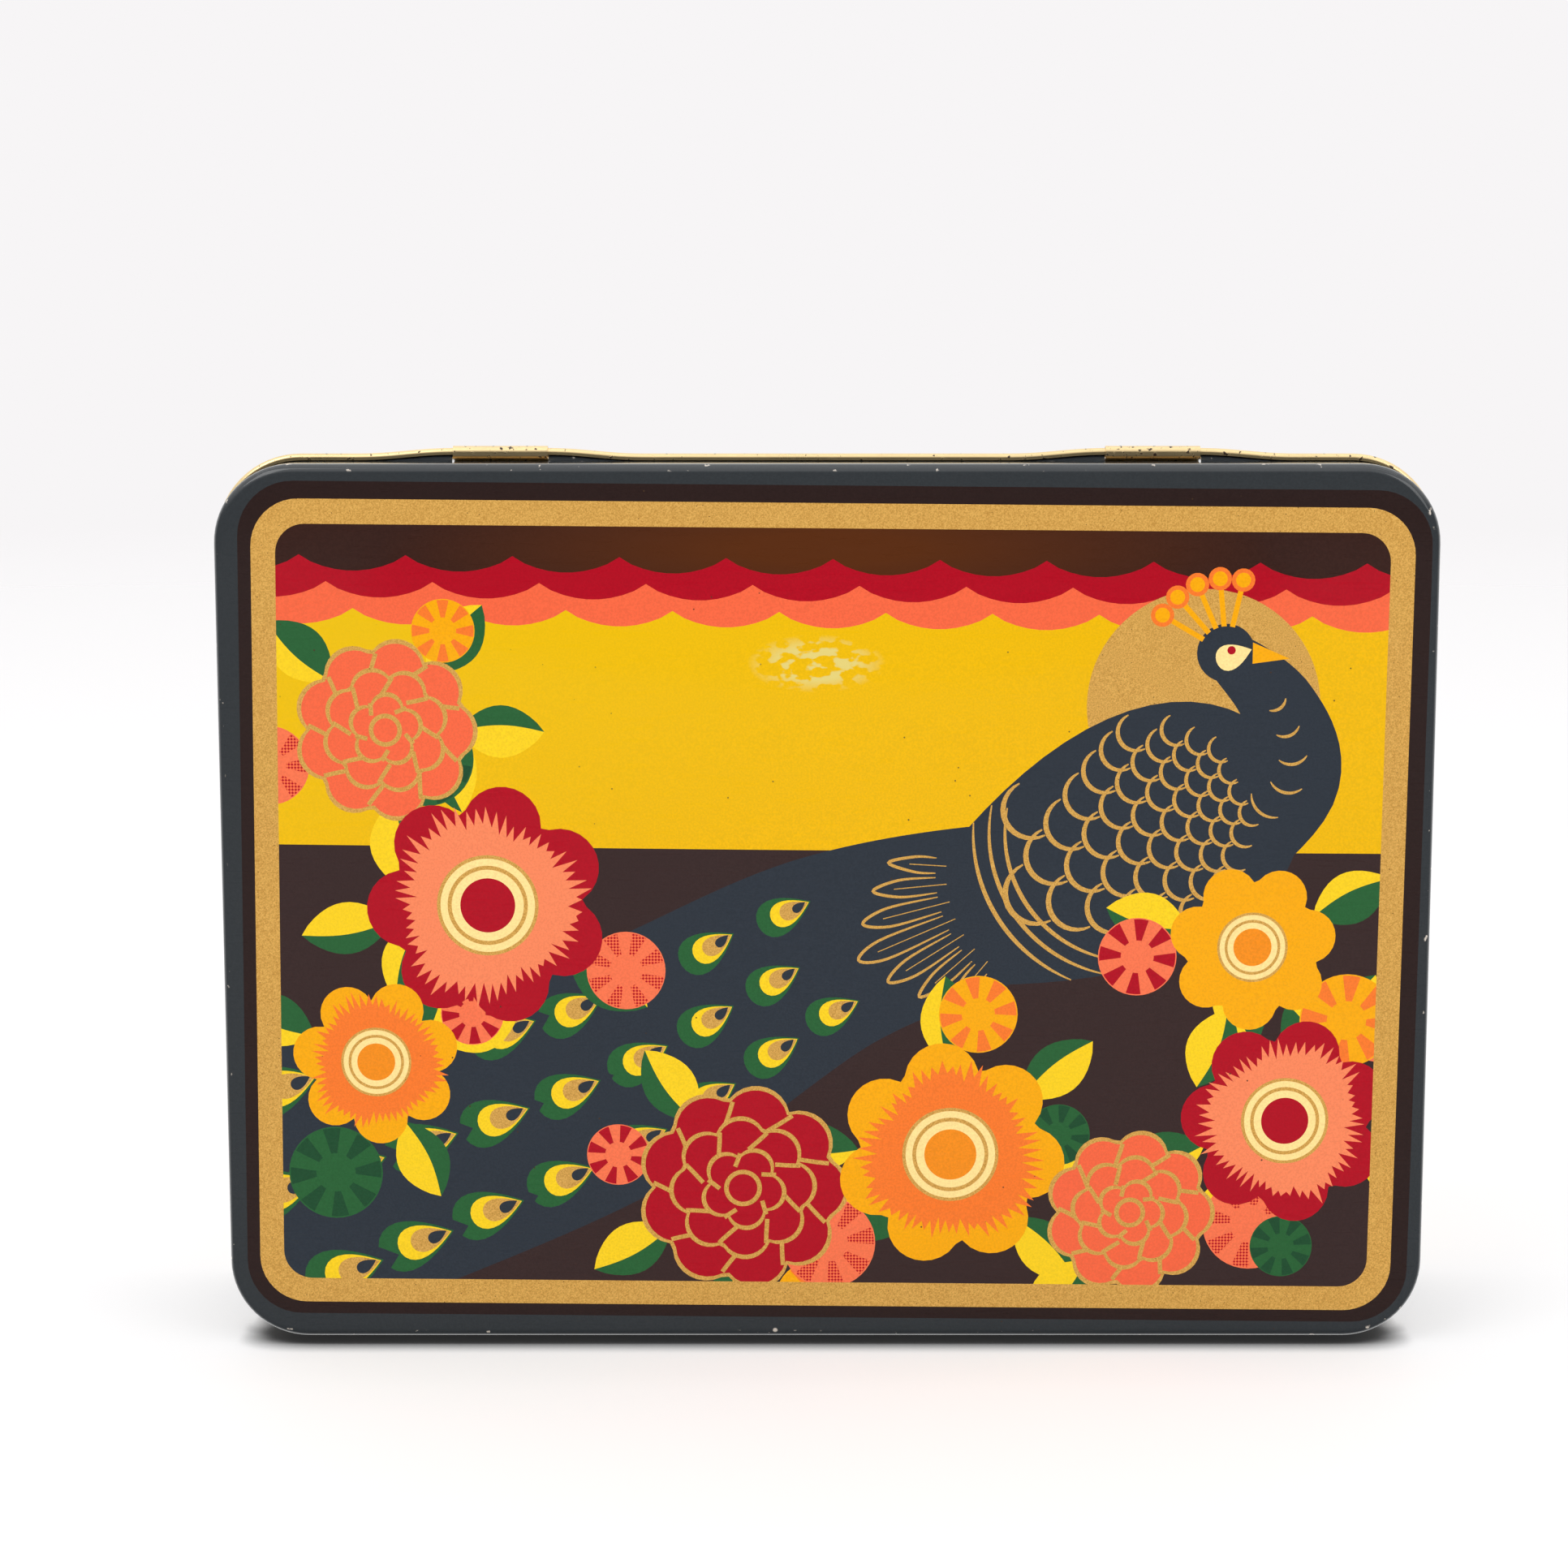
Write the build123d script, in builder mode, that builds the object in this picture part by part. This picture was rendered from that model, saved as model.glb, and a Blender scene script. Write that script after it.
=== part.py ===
from build123d import *

import os

# Hinged tinplate box, closed and standing on its front edge.
#
# The lid is a shallow drawn pan whose face looks along -Y. Its skirt ends in a curl rolled outward round a
# steel wire. Beside each hinge the curl swells away from the skirt and is joined to it by a narrow ledge. A
# slot in the ledge lets a sheet strap come forward off the body and wrap round the curl, so the curl is the
# hinge pin. The body is a straight wall strip with a curled mouth that the lid slips over, necked in at the
# back, where a recessed bottom panel is double-seamed onto it. Standing, the box rests on the lid's curl.
#
# Frame, in millimetres: X along the width, Z up through the height towards the hinges, Y from the lid's face
# to the bottom. The origin is the centre of the bounding box's underside. Sheet sections are centre lines
# drawn as (out, depth): out is measured outward from the lid's outline, depth rearward from its rim plane.

# --- driving dimensions ---------------------------------------------------------------------------------
LID_WIDTH = 230.0
LID_HEIGHT = 168.4
CORNER_R = 15.0
TOTAL_DEPTH = 52.0
SHEET = 0.3

# The domed panel, as (inset from the lid's outline, height above the rim plane, corner radius).
CROWN = [(9.0, 0.0, 7.0), (22.0, 0.8, 12.0), (40.0, 1.35, 20.0), (66.0, 1.6, 12.0)]
SHOULDER_R = 1.8
BEAD_DEPTH = 13.0  # from the rim plane to the centre of the lid's curl

WIRE_R = 0.54
CURL_BORE_R = 0.56
CURL_START = 240.0  # angle of the curl's raw edge, which stops short of the skirt

HINGE_X = 62.0
HINGE_LENGTH = 18.0
SWELL = 1.05  # how far the curl stands out beside a hinge
SWELL_FLAT = 12.0  # half the straight length of curl at a hinge
SWELL_END = 24.0  # half the length over which the swell runs out
SWELL_BEND_R = 80.0
PIN_CLEARANCE = 0.1
KNUCKLE_ARC = 300.0  # how far the strap wraps round the curl
SLOT_CLEARANCE = 0.15
SLOT_MARGIN = 0.6  # slot length beyond each end of the strap
STRAP_LEAF = 9.0
STRAP_JOGGLE = 1.9  # length over which the strap steps out from the wall
STRAP_LEAD = 1.3  # straight stretch between the knuckle and the joggle

SLIP_GAP = 0.6  # between the lid's skirt and the body wall
MOUTH_GAP = 0.2  # between the lid's inside and the body's mouth
MOUTH_CURL_R = 0.8
MOUTH_CURL_ARC = 270.0
NECK_IN = 0.55  # how far the wall steps in before the bottom seam
NECK_LENGTH = 1.4
SEAM_GAP = 0.12  # between the layers of the double seam
SEAM_HEIGHT = 3.0
HOOK_LENGTH = 1.5
COUNTERSINK = 3.2
PANEL_STEP = 0.6
PANEL_BORDER = 12.0
BEND_R = 0.45  # to the middle of the sheet, at tight bends
LOCK_SEAM_WIDTH = 5.0
LOCK_SEAM_RISE = 0.45

# --- worked out from them -------------------------------------------------------------------------------
CURL_R = CURL_BORE_R + SHEET
CURL_OUT = CURL_R - SHEET  # centre of the curl, outward of the skirt
BEAD_PROUD = CURL_OUT + CURL_R
PIN_OUT = CURL_OUT + SWELL
KNUCKLE_R = CURL_R + PIN_CLEARANCE + SHEET
WALL_OUT = -SHEET - SLIP_GAP  # outer face of the body wall
NECK_OUT = WALL_OUT - NECK_IN
SEAM_OUT = NECK_OUT + 2 * SEAM_GAP + 2 * SHEET
CROWN_HEIGHT = CROWN[-1][1]
RIM_Y = CROWN_HEIGHT - TOTAL_DEPTH / 2
CENTRE_Z = BEAD_PROUD + LID_HEIGHT / 2
BACK = TOTAL_DEPTH - CROWN_HEIGHT  # depth of the bottom seam's rear edge
MOUTH_DEPTH = SHEET + MOUTH_GAP
NECK_START = BACK - SEAM_HEIGHT - 2 * NECK_LENGTH
MID = SHEET / 2


def face_plane(depth):
    """Plane parallel to the lid's face at this depth. Its x is X and its y is Z, from the lid's middle."""
    return Plane(origin=(0, RIM_Y + depth, CENTRE_Z), x_dir=(1, 0, 0), z_dir=(0, -1, 0))


def section_plane():
    """Plane across the sheet at the middle of the lower side, where x is out and y is depth."""
    return Plane(origin=(0, RIM_Y, CENTRE_Z - LID_HEIGHT / 2), x_dir=(0, 0, -1), z_dir=(1, 0, 0))


def hinge_plane(x):
    """Plane across the sheet at the upper side, where x is out, y is depth and the normal is -X."""
    return Plane(origin=(x, RIM_Y, CENTRE_Z + LID_HEIGHT / 2), x_dir=(0, 0, 1), z_dir=(-1, 0, 0))


def half_outline(out, swell=0):
    """Corners and radii of the right half of a line round the box, from the lower side to the upper."""
    x = LID_WIDTH / 2 + out
    z = LID_HEIGHT / 2 + out
    corners = [(0, -z), (x, -z), (x, z)]
    radii = [CORNER_R + out] * 2
    if swell:
        for along, rise in ((SWELL_END, 0), (SWELL_FLAT, swell), (-SWELL_FLAT, swell), (-SWELL_END, 0)):
            corners.append((HINGE_X + along, z + rise))
            radii.append(SWELL_BEND_R)
    corners.append((0, z))
    return corners, radii


def run_round(out, swell=0):
    """Closed path round the box, this far outside the lid's outline."""
    corners, radii = half_outline(out, swell)
    FilletPolyline(*corners, radius=radii)
    mirror(about=Plane.YZ)


# --- lid ------------------------------------------------------------------------------------------------
with BuildPart() as lid_shell:
    # Flat border of the face, rounded shoulder and skirt.
    with BuildLine(face_plane(0)):
        run_round(0)
    with BuildSketch(section_plane()):
        with BuildLine():
            FilletPolyline(
                (-CROWN[0][0] - 1, MID), (-MID, MID), (-MID, BEAD_DEPTH), radius=SHOULDER_R - MID
            )
        trace(line_width=SHEET)
    sweep()

    # Domed panel, one sheet thick.
    for inset, rise, corner_r in CROWN:
        with BuildSketch(face_plane(-rise)):
            RectangleRounded(LID_WIDTH - 2 * inset, LID_HEIGHT - 2 * inset, corner_r)
    loft(ruled=True)
    with BuildSketch(face_plane(SHEET)):
        RectangleRounded(LID_WIDTH - 2 * CROWN[0][0], LID_HEIGHT - 2 * CROWN[0][0], CROWN[0][2])
    extrude(amount=SHEET)
    for inset, rise, corner_r in CROWN:
        with BuildSketch(face_plane(SHEET - rise)):
            RectangleRounded(LID_WIDTH - 2 * inset, LID_HEIGHT - 2 * inset, corner_r)
    loft(ruled=True, mode=Mode.SUBTRACT)

    # Ledge from the skirt out to the swell of the curl, then the strap's slot through ledge and skirt.
    with BuildSketch(face_plane(BEAD_DEPTH - CURL_R + SHEET)):
        for side in (1, -1):
            with BuildLine():
                ledge_low = LID_HEIGHT / 2 - SHEET
                ledge_high = LID_HEIGHT / 2 + CURL_OUT
                Polyline(
                    (side * (HINGE_X - SWELL_END), ledge_low),
                    (side * (HINGE_X - SWELL_END), ledge_high),
                    (side * (HINGE_X - SWELL_FLAT), ledge_high + SWELL),
                    (side * (HINGE_X + SWELL_FLAT), ledge_high + SWELL),
                    (side * (HINGE_X + SWELL_END), ledge_high),
                    (side * (HINGE_X + SWELL_END), ledge_low),
                    close=True,
                )
            make_face()
    extrude(amount=SHEET)
    with BuildSketch(face_plane(BEAD_DEPTH + CURL_R)):
        with Locations((HINGE_X, LID_HEIGHT / 2 + PIN_OUT / 2), (-HINGE_X, LID_HEIGHT / 2 + PIN_OUT / 2)):
            Rectangle(HINGE_LENGTH + 2 * SLOT_MARGIN, PIN_OUT + 4 * SHEET)
    extrude(amount=CURL_R + KNUCKLE_R + SLOT_CLEARANCE, mode=Mode.SUBTRACT)

    # The curl.
    with BuildLine(face_plane(0)):
        run_round(CURL_OUT, SWELL)
    with BuildSketch(section_plane()):
        with BuildLine():
            CenterArc((CURL_OUT, BEAD_DEPTH), CURL_R - MID, CURL_START, 180 + 360 - CURL_START)
        trace(line_width=SHEET)
    sweep()
lid_shell.part.label = "lid_shell"

with BuildPart() as lid_rim_wire:
    with BuildLine(face_plane(0)):
        run_round(CURL_OUT, SWELL)
    with BuildSketch(section_plane()):
        with Locations((CURL_OUT, BEAD_DEPTH)):
            Circle(WIRE_R)
    sweep()
lid_rim_wire.part.label = "lid_rim_wire"

# --- hinge straps ---------------------------------------------------------------------------------------
straps = {}
for name, hinge_x in (("hinge_strap_left", -HINGE_X), ("hinge_strap_right", HINGE_X)):
    with BuildPart() as strap:
        with BuildSketch(hinge_plane(hinge_x)):
            with BuildLine():
                knuckle_side = PIN_OUT - KNUCKLE_R + MID
                joggle_start = BEAD_DEPTH + STRAP_LEAD
                joggle_end = joggle_start + STRAP_JOGGLE
                CenterArc((PIN_OUT, BEAD_DEPTH), KNUCKLE_R - MID, 180, KNUCKLE_ARC)
                FilletPolyline(
                    (knuckle_side, BEAD_DEPTH),
                    (knuckle_side, joggle_start),
                    (WALL_OUT + MID, joggle_end),
                    (WALL_OUT + MID, joggle_end + STRAP_LEAF),
                    radius=BEND_R,
                )
            trace(line_width=SHEET)
        extrude(amount=HINGE_LENGTH / 2, both=True)
        leaf_end = strap.edges().filter_by(Axis.Z).group_by(Axis.Y)[-1]
        fillet(leaf_end, radius=3)
    strap.part.label = name
    straps[name] = strap

# --- body -----------------------------------------------------------------------------------------------
hook_out = NECK_OUT - MID + SEAM_GAP + SHEET
with BuildPart() as body_wall:
    with BuildLine(face_plane(0)):
        run_round(0)
    with BuildSketch(section_plane()):
        # Mouth curled inward, wall, neck, and the hook that the double seam holds.
        with BuildLine():
            mouth_out = WALL_OUT - MID
            mouth_r = MOUTH_CURL_R - MID
            CenterArc((mouth_out - mouth_r, MOUTH_DEPTH + mouth_r), mouth_r, 0, -MOUTH_CURL_ARC)
            FilletPolyline(
                (mouth_out, MOUTH_DEPTH + mouth_r),
                (mouth_out, NECK_START),
                (NECK_OUT - MID, NECK_START + NECK_LENGTH),
                (NECK_OUT - MID, BACK - SEAM_HEIGHT),
                radius=BEND_R,
            )
            seam_bend_r = (hook_out - NECK_OUT + MID) / 2
            hook_back = BACK - SHEET - SEAM_GAP - MID - seam_bend_r
            Line((NECK_OUT - MID, BACK - SEAM_HEIGHT), (NECK_OUT - MID, hook_back))
            CenterArc((NECK_OUT - MID + seam_bend_r, hook_back), seam_bend_r, 0, 180)
            Line((hook_out, hook_back), (hook_out, hook_back - HOOK_LENGTH))
        trace(line_width=SHEET)
    sweep()

    # Locked side seam, a thicker strip inside the wall at the middle of the hinge side.
    seam_low = LID_HEIGHT / 2 + WALL_OUT - SHEET - LOCK_SEAM_RISE
    with BuildSketch(face_plane(NECK_START - 1)):
        with Locations((0, seam_low + (LOCK_SEAM_RISE + MID) / 2)):
            Rectangle(LOCK_SEAM_WIDTH, LOCK_SEAM_RISE + MID)
    extrude(amount=NECK_START - 1 - MOUTH_DEPTH - 2 * MOUTH_CURL_R)
body_wall.part.label = "body_wall"

chuck_out = NECK_OUT - SHEET - SEAM_GAP - MID
panel_depth = BACK - COUNTERSINK
with BuildPart() as bottom_panel:
    with BuildLine(face_plane(0)):
        run_round(0)
    with BuildSketch(section_plane()):
        # Edge of the panel, chuck wall, flat back of the seam, and the skirt tucked in under the hook.
        with BuildLine():
            FilletPolyline(
                (-PANEL_BORDER - SHEET, panel_depth + MID),
                (chuck_out, panel_depth + MID),
                (chuck_out, BACK - MID),
                (SEAM_OUT - MID, BACK - MID),
                (SEAM_OUT - MID, BACK - SEAM_HEIGHT),
                radius=BEND_R,
            )
        trace(line_width=SHEET)
    sweep()

    # Middle of the panel, pressed out a little towards the back for stiffness.
    with BuildSketch(face_plane(panel_depth + PANEL_STEP + SHEET)):
        inset = PANEL_BORDER
        RectangleRounded(LID_WIDTH - 2 * inset, LID_HEIGHT - 2 * inset, CORNER_R - inset)
    extrude(amount=PANEL_STEP + SHEET)
    with BuildSketch(face_plane(panel_depth + PANEL_STEP)):
        inset = PANEL_BORDER + SHEET
        RectangleRounded(LID_WIDTH - 2 * inset, LID_HEIGHT - 2 * inset, CORNER_R - inset)
    extrude(amount=PANEL_STEP, mode=Mode.SUBTRACT)
bottom_panel.part.label = "bottom_panel"

# --- files ----------------------------------------------------------------------------------------------
os.makedirs("parts", exist_ok=True)
export_step(lid_shell.part, "parts/lid_shell.step")
export_step(lid_rim_wire.part, "parts/lid_rim_wire.step")
export_step(body_wall.part, "parts/body_wall.step")
export_step(bottom_panel.part, "parts/bottom_panel.step")
for name, strap in straps.items():
    export_step(strap.part, f"parts/{name}.step")

print("hinge axis at", (0, RIM_Y + BEAD_DEPTH, CENTRE_Z + LID_HEIGHT / 2 + PIN_OUT))
print("inside, in depth", RIM_Y + SHEET, "to", RIM_Y + panel_depth)
print("mouth, inward of the lid's outline", WALL_OUT - 2 * MOUTH_CURL_R)
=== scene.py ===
"""Looks for the hinged tinplate box: lithographed lid, gold curl and hinges, lacquered inside and bottom.

The lid is one sheet modelled whole. Its print is drawn flat, in millimetres from the lid's middle, as
overlapping outlines. A triangulation cuts the lid's face along every outline, and each triangle takes the
ink of the topmost outline that holds it, so the artwork is geometry and needs no picture file.
"""
import math
import random

import bpy
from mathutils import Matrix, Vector, geometry


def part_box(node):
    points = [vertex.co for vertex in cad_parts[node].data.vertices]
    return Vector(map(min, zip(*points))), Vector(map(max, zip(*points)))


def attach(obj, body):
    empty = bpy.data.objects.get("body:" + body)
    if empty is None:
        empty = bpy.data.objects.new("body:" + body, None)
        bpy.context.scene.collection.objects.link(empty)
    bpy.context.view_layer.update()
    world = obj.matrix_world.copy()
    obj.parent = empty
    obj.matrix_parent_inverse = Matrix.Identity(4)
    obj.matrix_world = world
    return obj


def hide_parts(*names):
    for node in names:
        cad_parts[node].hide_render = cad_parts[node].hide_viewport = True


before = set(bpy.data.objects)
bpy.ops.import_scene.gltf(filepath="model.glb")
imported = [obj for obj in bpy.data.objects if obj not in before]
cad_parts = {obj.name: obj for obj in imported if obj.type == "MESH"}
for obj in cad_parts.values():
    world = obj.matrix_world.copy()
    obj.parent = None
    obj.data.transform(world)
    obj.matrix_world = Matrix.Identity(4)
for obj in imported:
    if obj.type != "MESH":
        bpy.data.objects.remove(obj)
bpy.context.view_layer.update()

MM = 0.001

# --- sizes of the sheet metal, in millimetres, as the CAD model has them --------------------------------
LID_WIDTH = 230.0
LID_HEIGHT = 168.4
CORNER_R = 15.0
SHEET = 0.3
SHOULDER_R = 1.8
BEAD_DEPTH = 13.0
CURL_BORE_R = 0.56
CURL_R = CURL_BORE_R + SHEET
CURL_ARC = 300.0
HINGE_X = 62.0
HINGE_LENGTH = 18.0
SWELL = 1.05
SWELL_FLAT = 12.0
SWELL_END = 24.0
SWELL_BEND_R = 80.0
SLOT_HALF = HINGE_LENGTH / 2 + 0.15
SLOT_DEPTH = BEAD_DEPTH - CURL_R - 0.55  # front edge of the straps' slots
CROWN = 1.6
CROWN_HALF_X = 107  # where the dome meets the flat border
CROWN_HALF_Z = 76.2
PAINT_STARTS = 13.4  # depth behind the rim plane at which the body's slate print begins
PAINT_FULL = 13.8

LOW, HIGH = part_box("lid_shell")
RIM_Y = LOW[1] / MM + CROWN
CENTRE_Z = LOW[2] / MM + 2 * CURL_R - SHEET + LID_HEIGHT / 2


def rgb(red, green, blue):
    """Scene-linear colour of a screen colour."""
    def linear(value):
        value = value / 255
        if value <= 0.04045:
            return value / 12.92
        return ((value + 0.055) / 1.055) ** 2.4
    return (linear(red), linear(green), linear(blue), 1.0)


# --- drawing helpers: outlines are lists of (x, z) ------------------------------------------------------
def polar(centre, radius, angle):
    """Point at this distance and angle, in degrees, from a centre."""
    turn = math.radians(angle)
    return (centre[0] + radius * math.cos(turn), centre[1] + radius * math.sin(turn))


def circle(centre, radius, steps=48):
    return [polar(centre, radius, 360 * i / steps) for i in range(steps)]


def rounded_box(centre, half_x, half_z, radius, steps=10):
    """Rectangle with round corners, starting at the right-hand end of its lower side."""
    points = []
    for quarter, (sx, sz) in enumerate(((1, -1), (1, 1), (-1, 1), (-1, -1))):
        middle = (centre[0] + sx * (half_x - radius), centre[1] + sz * (half_z - radius))
        for i in range(steps + 1):
            points.append(polar(middle, radius, -90 + 90 * quarter + 90 * i / steps))
    return points


def smooth(points, steps=6, closed=True):
    """Catmull-Rom curve through a few given points."""
    count = len(points)
    spans = count if closed else count - 1
    curve = []
    for i in range(spans):
        if closed:
            p = [points[(i + k) % count] for k in (-1, 0, 1, 2)]
        else:
            p = [points[min(max(i + k, 0), count - 1)] for k in (-1, 0, 1, 2)]
        for j in range(steps):
            t = j / steps
            weights = (
                -0.5 * t + t**2 - 0.5 * t**3,
                1 - 2.5 * t**2 + 1.5 * t**3,
                0.5 * t + 2 * t**2 - 1.5 * t**3,
                -0.5 * t**2 + 0.5 * t**3,
            )
            curve.append(tuple(sum(w * q[axis] for w, q in zip(weights, p)) for axis in (0, 1)))
    if not closed:
        curve.append(points[-1])
    return curve


def ribbon(path, halves):
    """Outline along a path with this half width at each of its points."""
    left, right = [], []
    last = len(path) - 1
    for i, (x, z) in enumerate(path):
        before = path[max(i - 1, 0)]
        after = path[min(i + 1, last)]
        dx, dz = after[0] - before[0], after[1] - before[1]
        size = math.hypot(dx, dz) or 1
        left.append((x - dz / size * halves[i], z + dx / size * halves[i]))
        right.append((x + dz / size * halves[i], z - dx / size * halves[i]))
    return left + right[::-1]


def stroke(path, width, taper=True):
    """Outline of a pen line along a path, thin at both ends if it tapers."""
    last = len(path) - 1
    halves = []
    for i in range(last + 1):
        swell = math.sin(math.pi * (0.04 + 0.92 * i / last)) ** 0.6 if taper else 1
        halves.append(width / 2 * max(swell, 0.12))
    return ribbon(path, halves)


def limb(path, start, end):
    """Outline along a path whose half width goes evenly from start to end."""
    last = len(path) - 1
    return ribbon(path, [start + (end - start) * i / last for i in range(last + 1)])


def walk(path, distance):
    """Point at this distance along a path, and the direction back to its start, in degrees."""
    for a, b in zip(path, path[1:]):
        step = math.dist(a, b)
        if distance <= step:
            t = distance / step
            point = (a[0] + (b[0] - a[0]) * t, a[1] + (b[1] - a[1]) * t)
            return point, math.degrees(math.atan2(a[1] - b[1], a[0] - b[0]))
        distance -= step
    return None


def arc(centre, radius, start, sweep, steps=14):
    return [polar(centre, radius, start + sweep * i / steps) for i in range(steps + 1)]


def lobed(centre, radius, lobes, turn=0, fullness=0.56, steps=84):
    """Outline of round petals in a ring, as one closed line."""
    middle = radius / (1 + math.sin(math.pi / lobes) / fullness * 0.62)
    petal = radius - middle
    points = []
    for i in range(steps):
        angle = 360 * i / steps
        off = (angle - turn + 180 / lobes) % (360 / lobes) - 180 / lobes
        across = middle * math.sin(math.radians(off))
        reach = middle * math.cos(math.radians(off)) + math.sqrt(max(petal**2 - across**2, 0))
        points.append(polar(centre, reach, angle))
    return points


def ragged(centre, radius, teeth, depth, seed):
    """Uneven starburst."""
    dice = random.Random(seed)
    points = []
    for i in range(teeth):
        angle = 360 * i / teeth
        wave = 1 + 0.07 * math.sin(math.radians(angle * 3 + seed * 40))
        points.append(polar(centre, radius * wave * (1 - depth * dice.uniform(0.5, 1)), angle))
        tip = angle + 180 / teeth + dice.uniform(-1.2, 1.2)
        points.append(polar(centre, radius * wave * dice.uniform(0.94, 1.1), tip))
    return points


def teardrop(centre, length, width, angle, steps=26):
    """Drop whose point looks along the angle."""
    points = []
    ax, az = math.cos(math.radians(angle)), math.sin(math.radians(angle))
    for i in range(steps):
        t = 2 * math.pi * i / steps
        along = length / 2 * math.cos(t)
        across = width / 2 * math.sin(t) * 1.3 * math.sin(t / 2) ** 1.1
        points.append((centre[0] + along * ax - across * az, centre[1] + along * az + across * ax))
    return points


# --- the print: (ink, outline) from the lowest layer up -------------------------------------------------
SKEW = -0.5  # the print sits a little turned and off the middle of the tin
SHIFT = (0.5, -0.5)
picture = []


def ink(name, outline):
    """Lays an outline of this ink over what is there."""
    picture.append((name, outline))


def scallops(level, sag, offset, foot):
    """Band whose upper edge hangs in swags from evenly spaced cusps, down to a straight foot."""
    pitch = 20
    points = []
    for k in range(-7, 7):
        for i in range(9):
            t = i / 9
            points.append(((k + t) * pitch + offset, level - sag * math.sin(math.pi * t) ** 0.75))
    return points + [(points[-1][0], foot), (points[0][0], foot)]


def draw_sky():
    """Swagged sunset bands over a plain yellow sky, and the dark ground."""
    ink("umber", [(-110, 62), (110, 62), (110, 80), (-110, 80)])
    ink("crimson", scallops(67, 3, 0, 20))
    ink("coral", scallops(62, 3, 5, 20))
    ink("sky", scallops(57, 3, 10, 10))
    ink("dark", [(-110, 12), (110, 12), (110, -80), (-110, -80)])


def draw_anemone(centre, radius, petals, frill, heart, turn, seed, lobes=7, fringe=0.77):
    """Round flower with a ragged frill and a ringed heart."""
    ink(petals, lobed(centre, radius, lobes, turn))
    if frill:
        ink(frill, ragged(centre, radius * fringe, 58, 0.2, seed))
    ring = radius * 0.42
    for name, share in (("gold", 1.0), ("cream", 0.93), ("gold", 0.79), ("cream", 0.71), (heart, 0.54)):
        ink(name, circle(centre, ring * share, 56))


def draw_rose(centre, radius, petal, turn):
    """Rosette of nested rings of round petals, each with a gold edge."""
    line = 0.44
    for lobes, share in ((9, 1.0), (8, 0.69), (5, 0.40)):
        reach = radius * share
        ink("gold", lobed(centre, reach + line, lobes, turn, 0.46))
        ink(petal, lobed(centre, reach - line, lobes, turn, 0.46))
        for k in range(lobes):
            notch = turn + (360 * k + 180) / lobes
            crease = [polar(centre, reach * 0.86, notch - 3), polar(centre, reach * 0.74, notch + 1)]
            crease.append(polar(centre, reach * 0.56, notch + 12))
            ink("gold", stroke(smooth(crease, 6, False), line * 1.9, False))
        turn += 23
    ink("gold", circle(centre, radius * 0.16 + line, 30))
    ink(petal, circle(centre, radius * 0.16 - line, 30))


def draw_pinwheel(centre, radius, disc, wedge, turn, wedges=8):
    """Disc cut by short wedges."""
    ink(disc, circle(centre, radius, 40))
    for k in range(wedges):
        middle = turn + 360 * k / wedges
        half = 180 / wedges * 0.5
        outer = arc(centre, radius * 0.97, middle - half, 2 * half, 4)
        inner = arc(centre, radius * 0.42, middle + half * 0.8, -1.6 * half, 2)
        ink(wedge, outer + inner)


def draw_leaf(base, tip, width, upper="green", lower="lime"):
    """Pointed leaf in two inks, split along its rib."""
    dx, dz = tip[0] - base[0], tip[1] - base[1]
    size = math.hypot(dx, dz)
    halves = []
    for bulge in (width, -width):
        side = []
        for i in range(13):
            t = i / 12
            across = bulge / 2 * math.sin(math.pi * t) ** 0.8
            side.append((base[0] + dx * t - dz / size * across, base[1] + dz * t + dx / size * across))
        halves.append(side)
    rib = []
    for i in range(1, 12):
        t = i / 12
        bend = width * 0.12 * math.sin(math.pi * t)
        rib.append((base[0] + dx * t - dz / size * bend, base[1] + dz * t + dx / size * bend))
    ink(upper, halves[0] + rib[::-1])
    ink(lower, halves[1] + rib[::-1])


def draw_eye(centre, size, angle):
    """Eye of a tail feather: halo, green drop, yellow and gold crescents and a dark slit."""
    rings = (
        ("slate", 0, 1.80, 1.36),
        ("green", 0, 1.28, 0.86),
        ("lime", 0.14, 0.92, 0.58),
        ("gold", 0.24, 0.68, 0.40),
    )
    for name, shift, length, width in rings:
        ink(name, teardrop(polar(centre, size * shift, angle), size * length, size * width, angle))
    ink("slate", teardrop(polar(centre, size * 0.36, angle), size * 0.34, size * 0.20, angle + 12))


def within(point, outline):
    """True if the point is inside the outline."""
    x, z = point
    odd = False
    for a, b in zip(outline, outline[1:] + outline[:1]):
        if (a[1] > z) != (b[1] > z) and x < a[0] + (b[0] - a[0]) * (z - a[1]) / (b[1] - a[1]):
            odd = not odd
    return odd


def draw_bird():
    """A plain long-tailed bird built from a drop, two limbs and circles, in front of a gold disc."""
    head = (74, 50)
    body = teardrop((46, 8), 92, 48, 207, 60)
    neck = smooth([(70, 12), (86, 26), (84, 40), head], 10, False)
    spine = smooth([(40, 4), (0, -8), (-46, -34), (-112, -58)], 20, False)
    ink("gold", circle((70, 40), 22, 72))
    ink("slate", limb(spine, 14, 30))
    ink("slate", body)
    ink("slate", limb(neck, 13, 4.5))
    ink("slate", circle(head, 5.5, 32))
    draw_tail(spine)
    draw_plumage(body)
    draw_head(head, neck)


def draw_tail(spine):
    """Three staggered lanes of feather eyes along the tail, larger towards its end."""
    first, pitch = 46, 15
    for row in range(9):
        for lane in (-1, 0, 1):
            distance = first + pitch * (row + 0.5 * (lane == 0))
            found = walk(spine, distance)
            if found:
                middle, heading = found
                away = lane * (7 + 0.08 * distance)
                draw_eye(polar(middle, away, heading + 90), 7 + 0.035 * distance, heading)


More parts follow.
